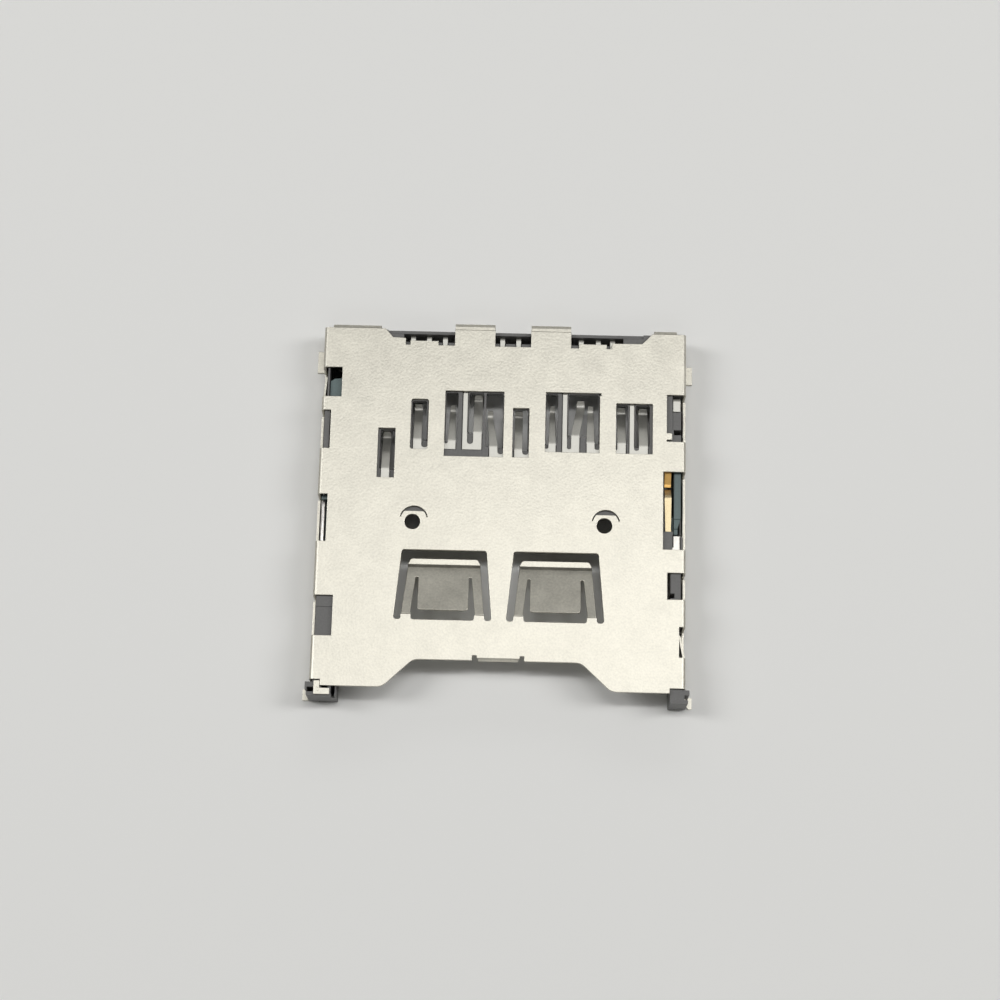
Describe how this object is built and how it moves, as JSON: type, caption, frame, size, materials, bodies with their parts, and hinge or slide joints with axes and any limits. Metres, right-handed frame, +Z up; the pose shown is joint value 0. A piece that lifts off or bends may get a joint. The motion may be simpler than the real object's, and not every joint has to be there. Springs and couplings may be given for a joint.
{
  "type": "sd card socket",
  "caption": "Push-push memory card socket: stamped steel cover over a moulded housing, sprung contacts on the cover side, heart-cam eject slider and card detect lever.",
  "frame": {"origin": "on the circuit board's surface, under the centre of the whole socket", "axes": "+Z up from the board to the cover, +Y from the card's mouth to the rear solder tails, +X to the right as seen from the mouth's side with the cover up"},
  "size_m": [0.0284, 0.0284, 0.0029],
  "materials": {
    "plated_steel": "satin tin plate with a fine mottled grain",
    "black_plastic": "moulded, dark grey to black, satin",
    "contact_metal": "tin-plated copper alloy, smooth",
    "gold_plate": "gold-plated copper alloy, smooth",
    "teal_plastic": "moulded, dark teal, satin",
    "spring_steel": "drawn steel wire, bright"
  },
  "bodies": {
    "socket_body": {"cover_shell": "plated_steel", "housing": "black_plastic", "contact_1": "contact_metal", "contact_2": "contact_metal", "contact_3": "contact_metal", "contact_3_detect": "contact_metal", "contact_4": "contact_metal", "contact_5": "contact_metal", "contact_6": "contact_metal", "contact_6_detect": "contact_metal", "contact_7": "contact_metal", "contact_8": "contact_metal", "contact_9": "contact_metal", "write_protect_spring": "gold_plate", "write_protect_terminal": "gold_plate", "card_detect_terminal": "contact_metal", "eject_spring": "spring_steel", "solder_clip_left": "plated_steel", "solder_clip_right": "plated_steel"},
    "slider": {"eject_slider": "teal_plastic"},
    "pin": {"cam_pin": "spring_steel"},
    "lever": {"detect_lever": "teal_plastic"}
  },
  "joints": [
    {"name": "eject_slide", "type": "slide", "parent": "socket_body", "child": "slider", "axis": [0, 1, 0], "range_m": [0, 0.0033], "stiffness_N_per_m": 250, "deforming": ["eject_spring"]},
    {"name": "cam_pin_swing", "type": "hinge", "parent": "socket_body", "child": "pin", "pos_m": [-0.01308, -0.00507, 0.00245], "axis": [0, 0, 1], "range_deg": [-9.3, 0]},
    {"name": "detect_lever_swing", "type": "hinge", "parent": "socket_body", "child": "lever", "pos_m": [0.01292, 0.00368, 0], "axis": [0, 0, 1], "range_deg": [0, 1.5], "stiffness_Nm_per_rad": 0.002}
  ],
  "couplings": [
    {"joint": "cam_pin_swing", "follows": "eject_slide", "rad_per_m": -48.6}
  ]
}
